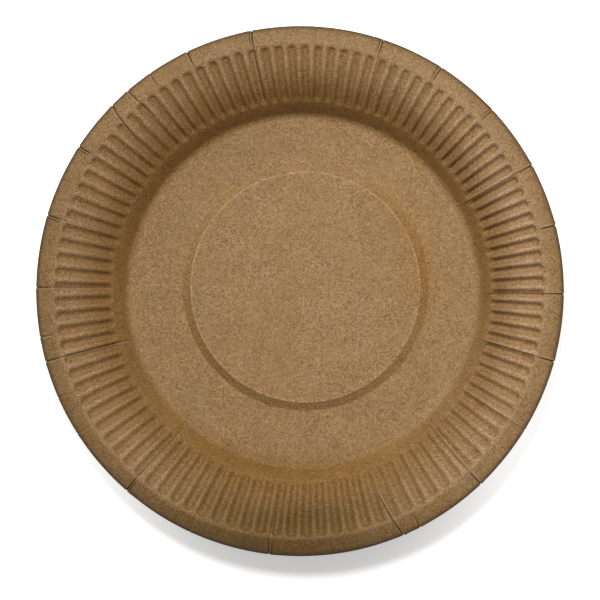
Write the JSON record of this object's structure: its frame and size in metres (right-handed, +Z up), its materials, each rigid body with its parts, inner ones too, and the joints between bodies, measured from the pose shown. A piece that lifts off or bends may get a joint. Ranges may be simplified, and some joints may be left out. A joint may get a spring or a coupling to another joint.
{
  "type": "paper plate",
  "caption": "Round dinner plate pressed from one sheet of brown kraft board, with a raised centre, a fluted sloping wall and a smooth pleated brim that turns down.",
  "frame": {"origin": "centre of the plate, on the plane that its base rests on", "axes": "+Z up along the plate's axis, towards its open side; +X and +Y lie in the base plane"},
  "size_m": [0.23, 0.23, 0.0219],
  "materials": {
    "kraft_board": "matte"
  },
  "bodies": {
    "root": {"plate": "kraft_board"}
  },
  "joints": []
}
